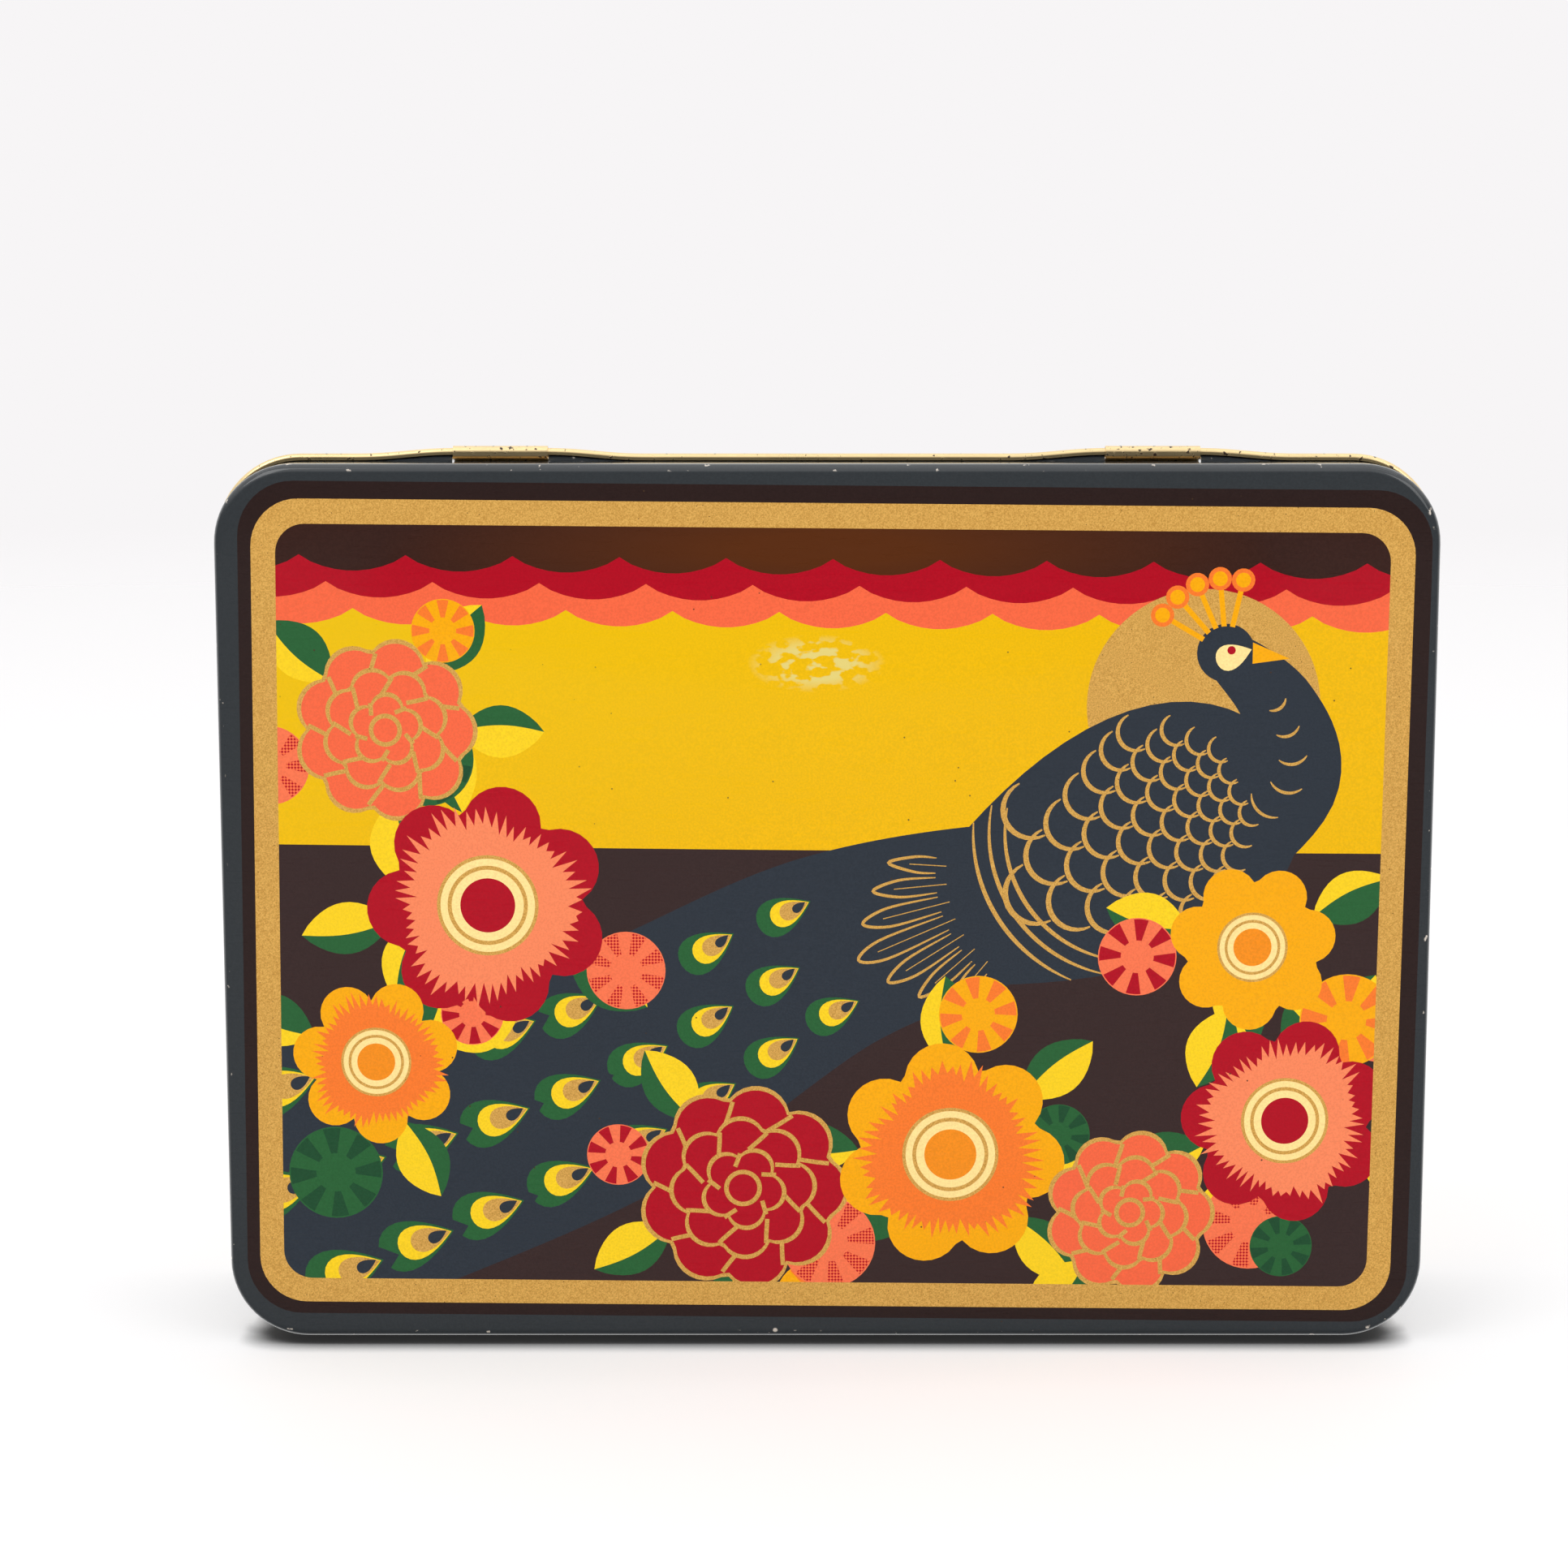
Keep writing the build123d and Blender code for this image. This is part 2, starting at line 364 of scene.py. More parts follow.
def draw_plumage(body):
    """Gold feather lines: scales that grow towards the tail, then arcs, then a fan of long feathers."""
    breast, heading = (86, 28), 207
    wing, edge = (58, 16), 23
    along, size, row = 0.0, 1.8, 0
    while along < 70:
        line = polar(breast, along, heading)
        for k in range(-14, 15):
            middle = polar(line, (k + 0.5 * (row % 2)) * size * 1.78, heading - 90)
            scale = arc(middle, size, heading - 90, 180)
            inside = all(within(scale[i], body) for i in (0, 7, 14))
            if inside and math.dist(middle, wing) < edge:
                ink("gold", stroke(scale, 0.4 + size * 0.12))
        along += size * 1.12
        size *= 1.09
        row += 1
    for k in range(3):
        feather = [p for p in arc(wing, edge + 2 + 3 * k, 170, 90, 50) if within(p, body)]
        ink("gold", stroke(feather, 0.85))
    root = (44, 8)
    for k in range(7):
        angle = 177 + 9 * k
        tip = 42 - 3 * abs(k - 3)
        loop = [polar(root, 24, angle - 3.5), polar(root, tip - 5, angle - 3), polar(root, tip, angle)]
        loop += [polar(root, tip - 5, angle + 3), polar(root, 24, angle + 3.5)]
        ink("gold", stroke(smooth(loop, 6, False), 0.6))
        ink("gold", stroke([polar(root, 22, angle), polar(root, tip - 4, angle)], 0.6))


def draw_head(head, neck):
    """Cheek, eye, beak and a crest of beads on stems, with small arcs down the neck."""
    x, z = head
    ink("cream", teardrop((x + 1.5, z - 0.5), 7, 5, 20))
    ink("crimson", circle((x + 1, z + 0.5), 0.8, 14))
    ink("petal", [(x + 5, z + 2), (x + 12, z - 1), (x + 5, z - 2)])
    for k in range(5):
        bead = polar(head, 14, 78 + 18 * k)
        ink("petal", stroke([polar(head, 5, 78 + 18 * k), bead], 1.0, False))
        ink("orange", circle(bead, 2.2, 18))
        ink("petal", circle(bead, 1.4, 18))
    for k in range(5):
        middle, heading = walk(neck, 18 + 5 * k)
        ink("gold", stroke(arc(middle, 4.5 - 0.5 * k, heading - 50, 100), 0.6))


def draw_flower(kind, centre, radius, seed):
    """One flower of the garden."""
    if kind == "sun":
        draw_anemone(centre, radius, "petal", "orange", "amber", 40 * seed, seed)
    elif kind == "poppy":
        draw_anemone(centre, radius, "crimson", "salmon", "crimson", 40 * seed, seed)
    elif kind == "plain":
        draw_anemone(centre, radius, "petal", None, "amber", 40 * seed, seed)
    else:
        draw_rose(centre, radius, kind, 40 * seed)


def draw_garden():
    """Two banks of flowers, each flower touching the one before, with leaves and discs fanned out behind."""
    # Each bank: centre of its first flower, then kind, radius and direction from the flower before.
    banks = [
        ((-84, 34), [("coral", 17, 0), ("poppy", 23, -60), ("sun", 16, -125)]),
        ((-16, -54), [
            ("crimson", 20, 0), ("sun", 22, 10), ("coral", 16, -18), ("poppy", 20, 32), ("plain", 16, 102),
        ]),
    ]
    golden_angle = 137.5
    flowers = []
    for centre, bank in banks:
        before = 0
        for kind, radius, turn in bank:
            if before:
                centre = polar(centre, (before + radius) * 0.96, turn)
            flowers.append((kind, centre, radius))
            before = radius
    for k, (_, centre, radius) in enumerate(flowers):
        for j in range(4):
            angle = golden_angle * (4 * k + j)
            leaf_inks = ("lime", "green") if j % 2 else ("green", "lime")
            draw_leaf(polar(centre, radius * 0.8, angle), polar(centre, radius + 13, angle), 10, *leaf_inks)
    discs = (("petal", "orange"), ("disc", "halftone"), ("green", "moss"), ("disc", "crimson"))
    for k, (_, centre, radius) in enumerate(flowers):
        for j in range(2):
            size = 6 + 1.5 * ((k + j) % 3)
            place = polar(centre, radius + size * 0.8, golden_angle * (2 * k + j) + 60)
            draw_pinwheel(place, size, *discs[(k + j) % 4], 25 * k, 8)
    for k, (kind, centre, radius) in enumerate(flowers):
        draw_flower(kind, centre, radius, k + 1)


draw_sky()
draw_bird()
draw_garden()

# Bands round the print: ink, then centre, half width, half height and corner radius.
BORDERS = [
    ("brown", rounded_box((0.35, 0.5), 111.8, 80.2, 10.5)),
    ("gold", rounded_box((0, 0), 109.0, 77.4, 9.0)),
    ("dark", rounded_box((0, 0), 104.4, 72.7, 5.5)),
]
LONGEST_STEP = 5.0  # longest straight side of an outline on the domed face


def placed(outline):
    """Turns and shifts an outline to its place on the tin, anticlockwise, in steps that follow the dome."""
    c, s = math.cos(math.radians(SKEW)), math.sin(math.radians(SKEW))
    area = sum(a[0] * b[1] - a[1] * b[0] for a, b in zip(outline, outline[1:] + outline[:1]))
    if area < 0:
        outline = outline[::-1]
    corners = [(SHIFT[0] + x * c - z * s, SHIFT[1] + x * s + z * c) for x, z in outline]
    points = []
    for a, b in zip(corners, corners[1:] + corners[:1]):
        parts = math.ceil(math.dist(a, b) / LONGEST_STEP)
        for i in range(parts):
            points.append((a[0] + (b[0] - a[0]) * i / parts, a[1] + (b[1] - a[1]) * i / parts))
    return points


# --- the lid's sheet ------------------------------------------------------------------------------------
def crown(x, z):
    """Height of the domed panel above the rim plane."""
    q = ((abs(x) / CROWN_HALF_X) ** 4 + (abs(z) / CROWN_HALF_Z) ** 4) ** 0.25
    return CROWN * max(1 - q * q, 0) ** 1.5


def swell(x):
    """How far the curl stands out at this x on the hinge side: flat, with rounded ramps."""
    away = abs(abs(x) - HINGE_X)
    slope = math.atan2(SWELL, SWELL_END - SWELL_FLAT)
    tangent = SWELL_BEND_R * math.tan(slope / 2)
    top_start = SWELL_FLAT - tangent
    top_end = SWELL_FLAT + tangent * math.cos(slope)
    foot_start = SWELL_END - tangent * math.cos(slope)
    foot_end = SWELL_END + tangent
    if away <= top_start:
        return SWELL
    if away <= top_end:
        return SWELL - SWELL_BEND_R + math.sqrt(SWELL_BEND_R**2 - (away - top_start) ** 2)
    if away <= foot_start:
        return SWELL * (SWELL_END - away) / (SWELL_END - SWELL_FLAT)
    if away < foot_end:
        return SWELL_BEND_R - math.sqrt(SWELL_BEND_R**2 - (foot_end - away) ** 2)
    return 0.0


def outline_columns():
    """Stations round the lid's outline: (x, z, outward x, outward z, swell)."""
    half_x, half_z = LID_WIDTH / 2 - CORNER_R, LID_HEIGHT / 2 - CORNER_R
    columns = []

    def side(start, end, normal, cuts):
        for t in cuts:
            x = start[0] + (end[0] - start[0]) * t
            z = start[1] + (end[1] - start[1]) * t
            columns.append((x, z, *normal, swell(x) if normal == (0, 1) else 0.0))

    def corner(middle, first):
        for i in range(16):
            angle = math.radians(first + 90 * i / 16)
            nx, nz = math.cos(angle), math.sin(angle)
            columns.append((middle[0] + CORNER_R * nx, middle[1] + CORNER_R * nz, nx, nz, 0.0))

    plain = [i / 30 for i in range(30)]
    # The hinge side has stations exactly at the slots' ends.
    marks = {HINGE_X + SLOT_HALF, HINGE_X - SLOT_HALF}
    marks |= {HINGE_X + k * 1.5 for k in range(-20, 21) if abs(abs(k * 1.5) - SLOT_HALF) > 0.4}
    marks |= {k * 5.0 for k in range(0, 7)}
    marks |= {95.0}
    stops = sorted({x for x in marks if x < half_x} | {-x for x in marks if x < half_x})
    top = [(half_x - x) / (2 * half_x) for x in reversed(stops)]
    side((-half_x, -half_z - CORNER_R), (half_x, -half_z - CORNER_R), (0, -1), plain)
    corner((half_x, -half_z), -90)
    side((half_x + CORNER_R, -half_z), (half_x + CORNER_R, half_z), (1, 0), plain)
    corner((half_x, half_z), 0)
    side((half_x, half_z + CORNER_R), (-half_x, half_z + CORNER_R), (0, 1), [0.0] + top)
    corner((-half_x, half_z), 90)
    side((-half_x - CORNER_R, half_z), (-half_x - CORNER_R, -half_z), (-1, 0), plain)
    corner((-half_x, -half_z), 180)
    return columns


def profile(rise):
    """Print side of the sheet from the shoulder to the curl's raw edge, as (out, depth) rows."""
    rows = []
    for i in range(9):
        angle = math.radians(90 * i / 8)
        rows.append((-SHOULDER_R + SHOULDER_R * math.sin(angle), SHOULDER_R - SHOULDER_R * math.cos(angle)))
    rows += [(0, 5.0), (0, 9.0), (0, 11.2), (0, SLOT_DEPTH)]
    for t in (0.25, 0.5, 0.75):
        ease = t * t * (3 - 2 * t)
        rows.append((rise * ease, SLOT_DEPTH + (BEAD_DEPTH - SLOT_DEPTH) * t))
    for i in range(21):
        angle = math.radians(180 - CURL_ARC * i / 20)
        rows.append((
            rise + CURL_BORE_R + CURL_BORE_R * math.cos(angle),
            BEAD_DEPTH + CURL_BORE_R * math.sin(angle),
        ))
    return rows


SLOT_ROW = 12  # row at the slot's front edge
CURL_ROW = 16  # row where the curl begins


def to_frame(x, z, depth):
    """Point in metres in the CAD frame, from millimetres across the lid and rearward from its rim plane."""
    return Vector((x * MM, (RIM_Y + depth) * MM, (CENTRE_Z + z) * MM))


def build_lid(inks):
    """The lid's sheet, with one material slot for each ink and the lacquer last."""
    columns = outline_columns()
    edge = [(x - SHOULDER_R * nx, z - SHOULDER_R * nz) for x, z, nx, nz, _ in columns]

    # Triangulate the face along every outline of the print.
    layers = [(name, placed(outline)) for name, outline in BORDERS]
    panel_layer = len(layers)
    layers += [(name, placed(outline)) for name, outline in picture]
    coords = [Vector(p) for p in edge]
    loops = [list(range(len(edge)))]
    for _, outline in layers:
        first = len(coords)
        coords += [Vector(p) for p in outline]
        loops.append(list(range(first, len(coords))))
    # A grid of points over the face lets the triangles follow the dome. It stays clear of the round corners.
    spacing = 5.2
    reach_x, reach_z = 111.5, 80.5
    bend_x, bend_z, bend_r = 100, 69, 11
    for i in range(-21, 22):
        for j in range(-15, 16):
            x, z = i * spacing, (j + 0.5 * (i % 2)) * spacing
            into_corner = math.hypot(max(abs(x) - bend_x, 0), max(abs(z) - bend_z, 0))
            if abs(x) < reach_x and abs(z) < reach_z and into_corner < bend_r:
                coords.append(Vector((x, z)))
    flat, _, triangles, _, _, owners = geometry.delaunay_2d_cdt(coords, [], loops, 1, 1e-5)

    vertices = [to_frame(p.x, p.y, -crown(p.x, p.y)) for p in flat]
    faces, slots = [], []
    for triangle, owner in zip(triangles, owners):
        if not owner or 0 not in owner:
            continue
        inside_panel = panel_layer in owner
        seen = [k for k in owner if k and (k <= panel_layer or inside_panel)]
        name = layers[max(seen) - 1][0] if seen else "teal"
        corners = list(triangle)
        a, b, c = (flat[k] for k in corners[:3])
        turn = (b - a).cross(c - a)
        faces.append(corners if turn > 0 else corners[::-1])
        slots.append(inks.index(name))

    # Shoulder, skirt and curl, row by row from the face's own edge vertices.
    grid = {}
    for k, p in enumerate(flat):
        grid[(round(p.x, 3), round(p.y, 3))] = k
    rings = [[grid[(round(x, 3), round(z, 3))] for x, z in edge]]
    rows = len(profile(0))
    for row in range(1, rows):
        ring = []
        for x, z, nx, nz, rise in columns:
            out, depth = profile(rise)[row]
            ring.append(len(vertices))
            vertices.append(to_frame(x + nx * out, z + nz * out, depth))
        rings.append(ring)
    count = len(columns)
    for row in range(rows - 1):
        for i in range(count):
            j = (i + 1) % count
            middle = (columns[i][0] + columns[j][0]) / 2
            on_hinge_side = columns[i][3] > 0.99 and columns[j][3] > 0.99
            in_slot = on_hinge_side and abs(abs(middle) - HINGE_X) < SLOT_HALF
            if in_slot and SLOT_ROW <= row < CURL_ROW:
                continue
            faces.append([rings[row][i], rings[row + 1][i], rings[row + 1][j], rings[row][j]])
            slots.append(inks.index("teal" if row < CURL_ROW else "lacquer"))
    # Outlines that ran off the face leave points that no face uses.
    used = sorted({k for face in faces for k in face})
    renumber = {k: i for i, k in enumerate(used)}
    faces = [[renumber[k] for k in face] for face in faces]
    mesh = bpy.data.meshes.new("lid_sheet")
    mesh.from_pydata([vertices[k] for k in used], [], faces)
    for polygon, slot in zip(mesh.polygons, slots):
        polygon.material_index = slot
        polygon.use_smooth = True
    mesh.validate()
    return mesh


INKS = [
    "teal", "brown", "gold", "dark", "umber", "crimson", "coral", "sky", "petal", "orange", "salmon", "disc",
    "amber", "halftone", "cream", "green", "moss", "lime", "slate", "lacquer",
]


# --- materials ------------------------------------------------------------------------------------------
class Shader:
    """A new material and short calls that add nodes to it. Texture scales are per millimetre."""

    def __init__(self, name):
        self.material = bpy.data.materials.new(name)
        self.material.use_nodes = True
        self.tree = self.material.node_tree
        self.surface = self.tree.nodes["Principled BSDF"]
        own = self.add("ShaderNodeTexCoord").outputs
        self.place = own["Object"]
        self.normal = own["Normal"]

    def add(self, kind, inputs=None, **settings):
        node = self.tree.nodes.new(kind)
        for key, value in settings.items():
            setattr(node, key, value)
        for key, value in (inputs or {}).items():
            self.put(node.inputs[key], value)
        return node

    def put(self, socket, value):
        if isinstance(value, bpy.types.NodeSocket):
            self.tree.links.new(value, socket)
        else:
            socket.default_value = value

    def math(self, operation, a, b=0.0, clamp=False):
        node = self.add("ShaderNodeMath", {0: a, 1: b}, operation=operation, use_clamp=clamp)
        return node.outputs[0]

    def noise(self, scale, detail=3.0, vector=None):
        inputs = {"Vector": vector or self.place, "Scale": scale / MM, "Detail": detail}
        return self.add("ShaderNodeTexNoise", inputs).outputs[0]

    def stretched(self, scale, stretch, turn):
        """Noise drawn out into streaks across the face."""
        inputs = {"Vector": self.place, "Rotation": (0, turn, 0), "Scale": (stretch, 1, 1)}
        mapping = self.add("ShaderNodeMapping", inputs)
        return self.noise(scale, 2.0, mapping.outputs[0])

    def ramp(self, value, low, high, out_low=0.0, out_high=1.0):
        inputs = {"Value": value, "From Min": low, "From Max": high, "To Min": out_low, "To Max": out_high}
        return self.add("ShaderNodeMapRange", inputs).outputs[0]

    def mix(self, share, a, b):
        node = self.add("ShaderNodeMix", data_type="RGBA")
        self.put(node.inputs[0], share)
        self.put(node.inputs[6], a)
        self.put(node.inputs[7], b)
        return node.outputs[2]

    def specks(self, spacing, size, share):
        """Small round spots, one in some of the cells this far apart."""
        cells = self.add("ShaderNodeTexVoronoi", {"Vector": self.place, "Scale": 1 / (spacing * MM)})
        chosen = self.ramp(self.add("ShaderNodeSeparateColor", {0: cells.outputs[1]}).outputs[0],
                           1 - share, 1 - share + 0.01)
        spot = self.ramp(cells.outputs[0], size / spacing, size / spacing * 0.6)
        return self.math("MULTIPLY", chosen, spot)

    def axis(self, index):
        return self.add("ShaderNodeSeparateXYZ", {0: self.place}).outputs[index]

    def distance_to(self, x, z, half_x, half_z):
        """Distance from a spot on the face, 1 on the ellipse round it."""
        dx = self.math("DIVIDE", self.math("SUBTRACT", self.axis(0), x * MM), half_x * MM)
        dz = self.math("DIVIDE", self.math("SUBTRACT", self.axis(2), z * MM), half_z * MM)
        return self.math("SQRT", self.math("ADD", self.math("POWER", dx, 2.0), self.math("POWER", dz, 2.0)))

    def bump(self, height, distance, strength=1.0):
        inputs = {"Height": height, "Distance": distance * MM, "Strength": strength}
        self.put(self.surface.inputs["Normal"], self.add("ShaderNodeBump", inputs).outputs[0])

    def set(self, **values):
        for key, value in values.items():
            self.put(self.surface.inputs[key.replace("_", " ")], value)


def shade(colour, factor):
    return (colour[0] * factor, colour[1] * factor, colour[2] * factor, 1.0)


def varnish(shader, colour):
    """Clear stoved varnish over the ink: gloss, faint orange peel and fine rubbing."""
    rubbed = shader.stretched(0.9, 0.12, 0.7)
    shader.set(Base_Color=colour, Roughness=shader.ramp(rubbed, 0.35, 0.75, 0.26, 0.40))
    shader.set(Coat_Weight=1.0, Coat_Roughness=0.06, Specular_IOR_Level=0.06)
    shader.bump(shader.noise(0.16, 2.0), 0.035, 0.55)


def printed(name, colour, grain=0.10, specks=0.12, second=None):
    """Flat litho ink with a fine stipple, slow fading and a few dark rust specks."""
    shader = Shader(name)
    stipple = shader.ramp(shader.noise(2.6, 2.0), 0.36, 0.66)
    fading = shader.ramp(shader.noise(0.018, 3.0), 0.3, 0.7)
    body = shader.mix(stipple, shade(colour, 1 - grain), shade(colour, 1 + grain * 0.6))
    body = shader.mix(shader.math("MULTIPLY", fading, 0.35), body, second or shade(colour, 0.9))
    spots = shader.specks(3.1, 0.20, specks)
    body = shader.mix(spots, body, rgb(70, 52, 36))
    return shader, body


def plain_ink(name, colour, **kinds):
    shader, body = printed(name, colour, **kinds)
    varnish(shader, body)
    return shader.material


def sky_ink():
    """Yellow that goes from a greenish cast at the upper left to warm at the lower right, and is scuffed."""
    shader, body = printed("ink_sky", rgb(238, 184, 2), 0.10, 0.35)
    cast = shader.math("SUBTRACT", shader.axis(2), shader.math("MULTIPLY", shader.axis(0), 0.35))
    body = shader.mix(shader.ramp(cast, 0.105, 0.175, 0.0, 0.75), body, rgb(230, 190, 6))
    patch = shader.ramp(shader.distance_to(-2.0, 132.5, 13.0, 5.5), 1.0, 0.55)
    flakes = shader.ramp(shader.stretched(0.55, 0.6, 0.5), 0.50, 0.56)
    body = shader.mix(shader.math("MULTIPLY", patch, flakes), body, rgb(224, 206, 120))
    varnish(shader, body)
    return shader.material


def bronze_ink():
    """Gold printed with bronze powder: fine bright and dark grain, half metallic."""
    shader = Shader("ink_gold")
    grain = shader.ramp(shader.noise(4.2, 2.0), 0.30, 0.70)
    body = shader.mix(grain, rgb(198, 146, 66), rgb(243, 192, 102))
    body = shader.mix(shader.specks(1.1, 0.13, 0.22), body, rgb(120, 84, 38))
    varnish(shader, body)
    shader.set(Metallic=0.25, Roughness=shader.ramp(grain, 0, 1, 0.52, 0.38), Coat_Weight=0.5)
    return shader.material


def umber_ink():
    """Brown top-band ink, a little metallic, with a painted reflection of warm bronze across its middle."""
    shader, body = printed("ink_umber", rgb(66, 40, 34), 0.14)
    # Painted reflection: an oval across the middle of the band mixes warm bronze into the brown.
    painted_glow = shader.math("MULTIPLY", shader.ramp(shader.distance_to(0.0, 154.0, 84.0, 14.0), 1.0, 0.2), 0.8)
    varnish(shader, shader.mix(painted_glow, body, rgb(108, 55, 20)))
    shader.set(Metallic=0.3)
    return shader.material


def halftone_ink():
    """Coral with a screen of dark red dots on the slant."""
    shader, body = printed("ink_halftone", rgb(250, 116, 72))
    inputs = {"Vector": shader.place, "Rotation": (0, math.radians(45), 0)}
    turned = shader.add("ShaderNodeMapping", inputs).outputs[0]
    axes = shader.add("ShaderNodeSeparateXYZ", {0: turned}).outputs
    pitch = 0.85 * MM
    waves = [shader.math("SINE", shader.math("MULTIPLY", axes[k], 2 * math.pi / pitch)) for k in (0, 2)]
    dots = shader.ramp(shader.math("MULTIPLY", waves[0], waves[1]), -0.05, 0.15)
    varnish(shader, shader.mix(dots, body, rgb(178, 20, 34)))
    return shader.material


def border_ink():
    """Slate enamel of the edge, chipped to bright metal along the shoulder."""
    shader, body = printed("ink_teal", rgb(52, 56, 59), 0.08, 0.05)
    across = shader.add("ShaderNodeSeparateXYZ", {0: shader.normal})
    facing = shader.math("MULTIPLY", across.outputs[1], -1.0)
    on_shoulder = shader.math("MULTIPLY", shader.ramp(facing, 0.10, 0.25), shader.ramp(facing, 0.985, 0.93))
    flakes = shader.ramp(shader.noise(0.42, 4.0), 0.66, 0.69)
    spots = shader.specks(9.0, 0.55, 0.16)
    chips = shader.math("MAXIMUM", shader.math("MULTIPLY", flakes, on_shoulder), spots, True)
    varnish(shader, shader.mix(chips, body, rgb(205, 196, 184)))
    return shader.material


def lacquer(name, colour=rgb(255, 226, 168), rust=0.3):
    """Gold-lacquered tinplate with brown rust specks and faint drawing lines."""
    shader = Shader(name)
    lines = shader.stretched(0.5, 0.05, 0.0)
    cloud = shader.noise(0.05, 4.0)
    body = shader.mix(shader.ramp(cloud, 0.3, 0.7), shade(colour, 0.86), colour)
    body = shader.mix(shader.ramp(lines, 0.3, 0.8, 0.0, 0.25), body, shade(colour, 0.6))
    edge = 0.68 - 0.12 * rust
    pits = shader.ramp(shader.noise(1.1, 5.0), edge, edge + 0.04)
    body = shader.mix(pits, body, rgb(58, 40, 26))
    shader.set(Base_Color=body, Metallic=shader.ramp(pits, 0, 1, 0.92, 0.2))
    shader.set(Roughness=shader.ramp(cloud, 0.2, 0.8, 0.24, 0.38))
    shader.set(Coat_Weight=0.35, Coat_Roughness=0.15)
    shader.bump(pits, 0.06, 0.5)
    return shader.material


def steel_wire():
    shader = Shader("drawn_wire")
    body = shader.mix(shader.noise(0.8, 3.0), rgb(104, 84, 58), rgb(60, 44, 32))
    shader.set(Base_Color=body, Metallic=0.9, Roughness=0.45)
    return shader.material


def body_skin():
    """Body wall: slate print outside, gold lacquer inside, told apart by which way the sheet faces."""
    shader, body = printed("body_wall_skin", rgb(46, 53, 58), 0.08, 0.08)
    middle = (0, 0, -CENTRE_Z * MM)
    from_middle = shader.add("ShaderNodeVectorMath", {0: shader.place, 1: middle}, operation="ADD")
    flat = {0: from_middle.outputs[0], 1: (1, 0, 1)}
    from_middle = shader.add("ShaderNodeVectorMath", flat, operation="MULTIPLY")
    pair = {0: shader.normal, 1: from_middle.outputs[0]}
    facing = shader.add("ShaderNodeVectorMath", pair, operation="DOT_PRODUCT")
    outside = shader.ramp(facing.outputs["Value"], -0.002, 0.0)
    behind_mouth = shader.ramp(shader.axis(1), (RIM_Y + PAINT_STARTS) * MM, (RIM_Y + PAINT_FULL) * MM)
    painted = shader.math("MULTIPLY", outside, behind_mouth)
    cloud = shader.ramp(shader.noise(0.05, 4.0), 0.3, 0.7)
    gold = shader.mix(cloud, rgb(226, 198, 144), rgb(255, 226, 168))
    chips = shader.math("MULTIPLY", shader.ramp(shader.noise(0.3, 4.0), 0.69, 0.71), painted)
    skin = shader.mix(painted, gold, body)
    skin = shader.mix(chips, skin, rgb(190, 180, 168))
    shader.set(Base_Color=skin, Metallic=shader.ramp(painted, 0, 1, 0.9, 0.0), Roughness=0.3)
    shader.set(Coat_Weight=0.7, Coat_Roughness=0.1)
    shader.bump(shader.noise(0.16, 2.0), 0.03, 0.5)
    return shader.material


COLOURS = {
    "brown": rgb(46, 32, 30),
    "dark": rgb(58, 42, 41),
    "crimson": rgb(176, 9, 32),
    "coral": rgb(244, 104, 66),
    "petal": rgb(247, 170, 6),
    "orange": rgb(246, 122, 44),
    "salmon": rgb(248, 136, 92),
    "disc": rgb(246, 118, 78),
    "amber": rgb(242, 142, 26),
    "cream": rgb(255, 226, 150),
    "green": rgb(42, 98, 54),
    "moss": rgb(32, 78, 48),
    "lime": rgb(248, 208, 30),
    "slate": rgb(47, 54, 63),
}
SPECIAL = {
    "teal": border_ink, "umber": umber_ink, "gold": bronze_ink, "sky": sky_ink, "halftone": halftone_ink,
}


def ink_material(name):
    if name == "lacquer":
        return lacquer("gold_lacquer")
    if name in SPECIAL:
        return SPECIAL[name]()
    return plain_ink("ink_" + name, COLOURS[name])


# --- pieces ---------------------------------------------------------------------------------------------
def link(name, data):
    piece = bpy.data.objects.new(name, data)
    bpy.context.scene.collection.objects.link(piece)
    return piece


def settle(piece, angle=35):
    """Applies the piece's modifiers and marks its hard edges."""
    bpy.context.view_layer.update()
    done = bpy.data.meshes.new_from_object(piece.evaluated_get(bpy.context.evaluated_depsgraph_get()))
    piece.modifiers.clear()
    piece.data = done
    done.set_sharp_from_angle(angle=math.radians(angle))


lid = link("litho_lid", build_lid(INKS))
for name in INKS:
    lid.data.materials.append(ink_material(name))
thickness = lid.modifiers.new("sheet", "SOLIDIFY")
thickness.thickness = SHEET * MM
thickness.offset = -1
thickness.material_offset = len(INKS)
thickness.material_offset_rim = len(INKS)
settle(lid)
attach(lid, "lid")
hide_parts("lid_shell")


def dress(node, material):
    """Gives a CAD node its finish."""
    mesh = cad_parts[node].data
    mesh.materials.clear()
    mesh.materials.append(material)


gold_strap = lacquer("strap_lacquer", rgb(255, 226, 170), 0.6)
dress("lid_rim_wire", steel_wire())
dress("hinge_strap_left", gold_strap)
dress("hinge_strap_right", gold_strap)
dress("body_wall", body_skin())
dress("bottom_panel", lacquer("bottom_lacquer", rgb(240, 200, 130), 0.15))


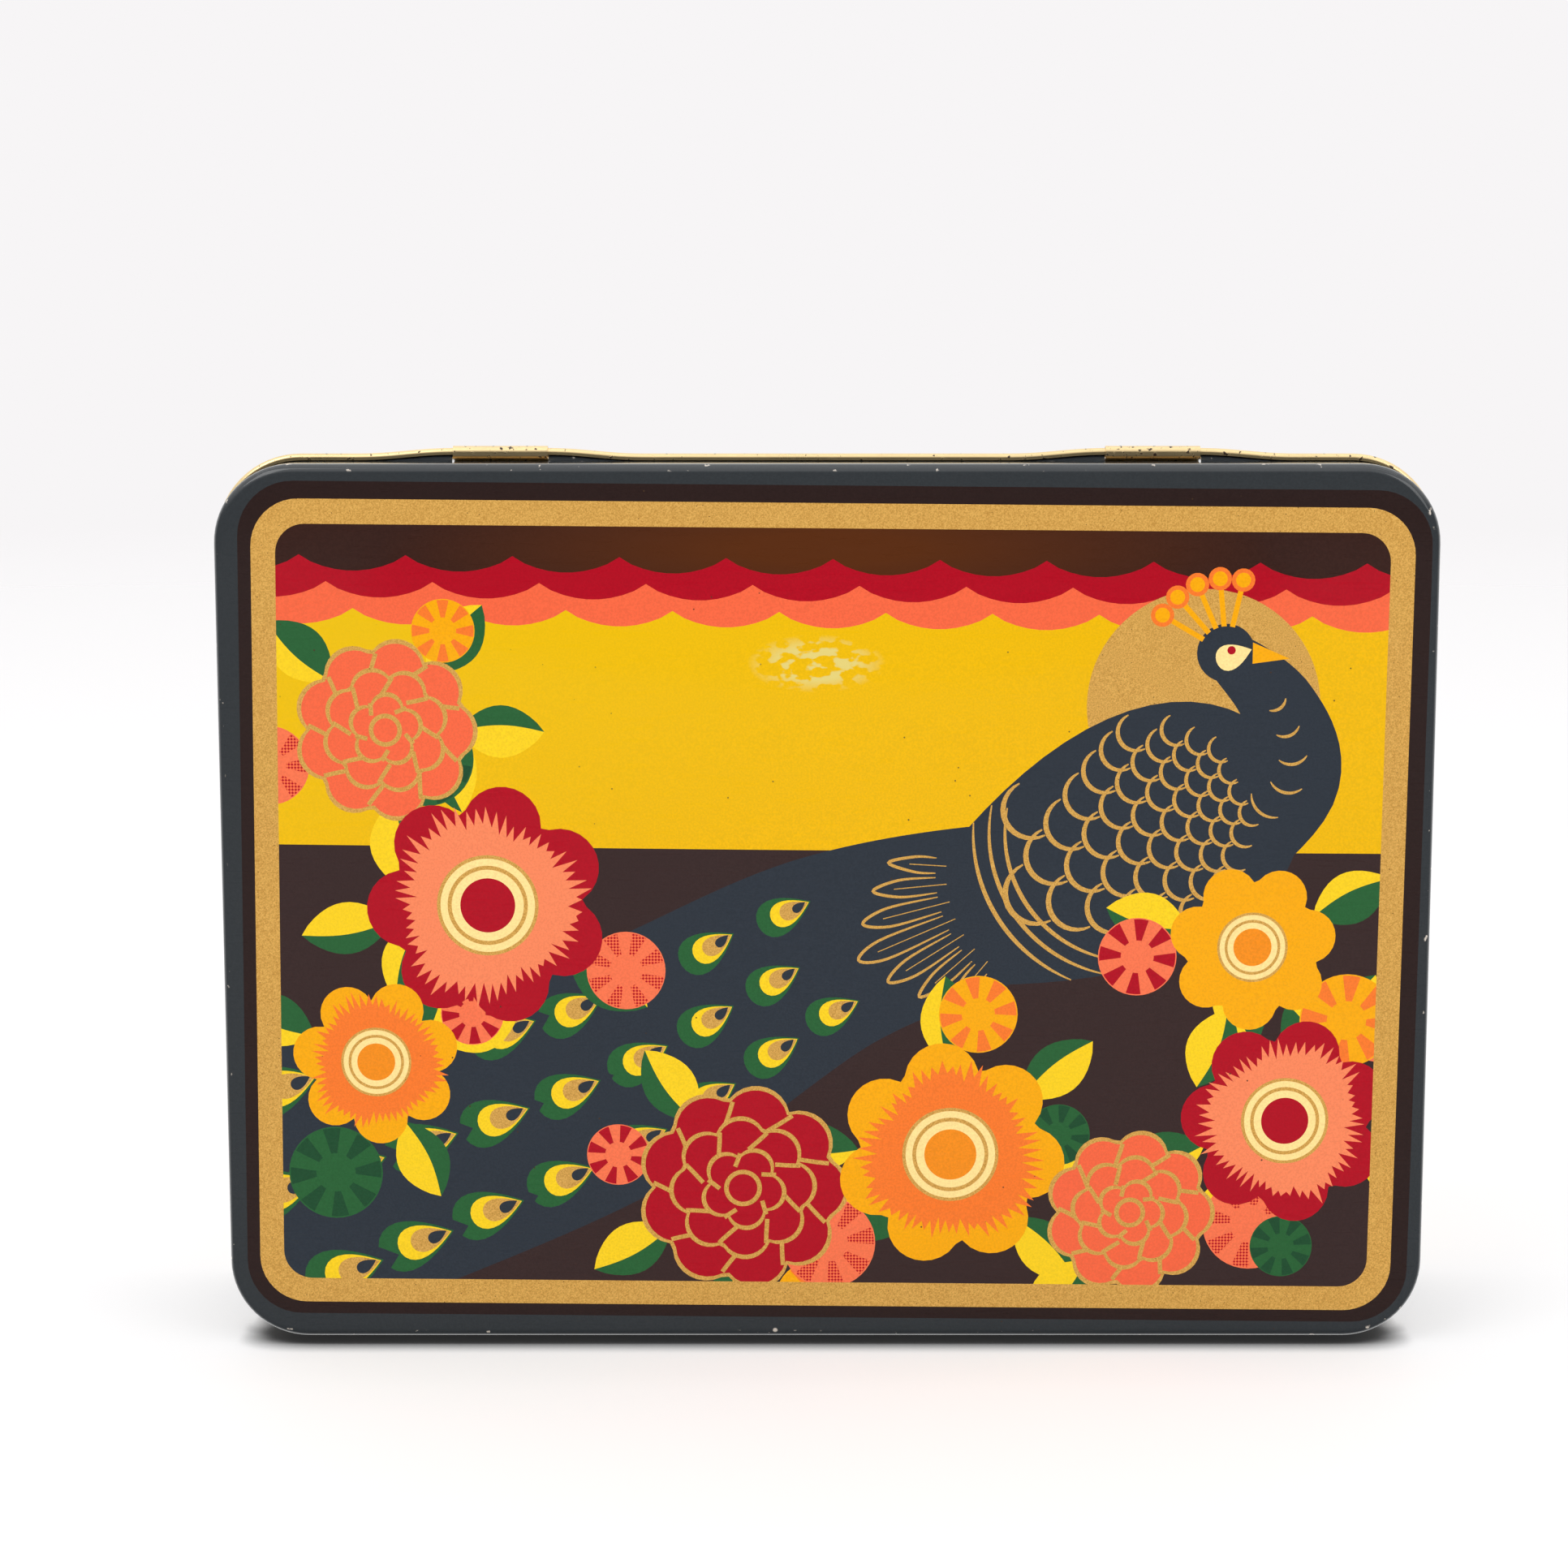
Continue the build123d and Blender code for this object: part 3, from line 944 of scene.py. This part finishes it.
# --- floor, light and camera ----------------------------------------------------------------------------
def build_floor():
    mesh = bpy.data.meshes.new("floor")
    far = 4.0
    mesh.from_pydata([(-far, -far, 0), (far, -far, 0), (far, far, 0), (-far, far, 0)], [], [(0, 1, 2, 3)])
    floor = link("floor", mesh)
    shader = Shader("floor")
    # Painted contact shadow: an ambient occlusion ramp darkens the floor's colour and glow next to the tin.
    painted_contact_shadow = shader.add("ShaderNodeAmbientOcclusion", {"Distance": 7.0 * MM}).outputs["AO"]
    painted_contact_shadow = shader.ramp(painted_contact_shadow, 0.42, 0.95, 0.05, 1.0)
    tone = shader.mix(painted_contact_shadow, (0, 0, 0, 1), (0.62, 0.62, 0.62, 1))
    shader.set(Base_Color=tone, Roughness=0.7, Specular_IOR_Level=0.2)
    painted_glow = shader.mix(painted_contact_shadow, (0, 0, 0, 1), (0.40, 0.40, 0.40, 1))
    shader.set(Emission_Color=painted_glow, Emission_Strength=1.0)
    # The floor fades into the backdrop's tone with distance, and mirrors in the gloss only faintly.
    away = shader.add("ShaderNodeVectorMath", {0: shader.place}, operation="LENGTH").outputs["Value"]
    clear = shader.add("ShaderNodeBsdfTransparent")
    glossy = shader.math("MULTIPLY", shader.add("ShaderNodeLightPath").outputs["Is Glossy Ray"], 0.9)
    join = shader.add("ShaderNodeMixShader", {0: shader.math("MAXIMUM", shader.ramp(away, 0.5, 2.6), glossy)})
    shader.put(join.inputs[1], shader.surface.outputs[0])
    shader.put(join.inputs[2], clear.outputs[0])
    shader.put(shader.tree.nodes["Material Output"].inputs[0], join.outputs[0])
    mesh.materials.append(shader.material)


def area_light(name, place, target, size, power, colour=(1, 1, 1)):
    data = bpy.data.lights.new(name, "AREA")
    data.shape = "RECTANGLE"
    data.size, data.size_y = size
    data.energy = power
    data.color = colour
    light = link(name, data)
    light.location = place
    light.rotation_euler = (Vector(target) - Vector(place)).to_track_quat("-Z", "Y").to_euler()


def build_light():
    world = bpy.data.worlds.new("studio")
    bpy.context.scene.world = world
    world.use_nodes = True
    tree = world.node_tree
    # The room is bright all round; the gloss mirrors a dark camera side and a bright backdrop and ceiling.
    direction = tree.nodes.new("ShaderNodeSeparateXYZ")
    tree.links.new(tree.nodes.new("ShaderNodeTexCoord").outputs["Generated"], direction.inputs[0])

    def zone(axis, low, high, out_low, out_high):
        node = tree.nodes.new("ShaderNodeMapRange")
        node.interpolation_type = "SMOOTHSTEP"
        tree.links.new(direction.outputs[axis], node.inputs[0])
        for index, value in enumerate((low, high, out_low, out_high), 1):
            node.inputs[index].default_value = value
        return node.outputs[0]

    def combine(operation, a, b):
        node = tree.nodes.new("ShaderNodeMath")
        node.operation = operation
        tree.links.new(a, node.inputs[0])
        tree.links.new(b, node.inputs[1])
        return node.outputs[0]

    backdrop = zone(1, -0.10, 0.45, 0.02, 1.0)
    ceiling = zone(2, 0.20, 0.60, 0.0, 1.05)
    brightness = combine("MAXIMUM", backdrop, ceiling)
    path = tree.nodes.new("ShaderNodeLightPath")
    world.cycles.sampling_method = "NONE"
    room = tree.nodes["Background"]
    room.inputs[0].default_value = rgb(247, 245, 246)
    mirrored = tree.nodes.new("ShaderNodeBackground")
    mirrored.inputs[0].default_value = (1, 1, 1, 1)
    tree.links.new(brightness, mirrored.inputs[1])
    join = tree.nodes.new("ShaderNodeMixShader")
    tree.links.new(path.outputs["Is Glossy Ray"], join.inputs[0])
    tree.links.new(room.outputs[0], join.inputs[1])
    tree.links.new(mirrored.outputs[0], join.inputs[2])
    tree.links.new(join.outputs[0], tree.nodes["World Output"].inputs[0])
    area_light("key", (-0.7, -0.8, 1.2), (0, 0, 0.1), (0.7, 0.7), 3.6)
    area_light("strip_front", (0, -0.35, 1.1), (0, 0, 0.17), (1.6, 0.05), 0.5)
    area_light("strip_back", (0, 0.10, 1.1), (0, 0, 0.17), (1.6, 0.05), 0.5)
    area_light("fill", (0.9, -0.9, 0.7), (0, 0, 0.1), (0.6, 0.6), 2.0)


def build_camera():
    """Fifty millimetre view from a little above, level across, square on to the lid."""
    data = bpy.data.cameras.new("camera")
    data.sensor_width = 24
    data.lens = 50
    data.clip_start = 0.02
    camera = link("camera", data)
    off_middle, distance, height, tilt = -8.1, 611.1, 196, 8.05
    camera.location = (off_middle * MM, (RIM_Y - distance) * MM, height * MM)
    camera.rotation_euler = (math.radians(90 - tilt), 0, 0)
    bpy.context.scene.camera = camera


build_floor()
build_light()
build_camera()
bpy.context.scene.view_settings.view_transform = "Standard"
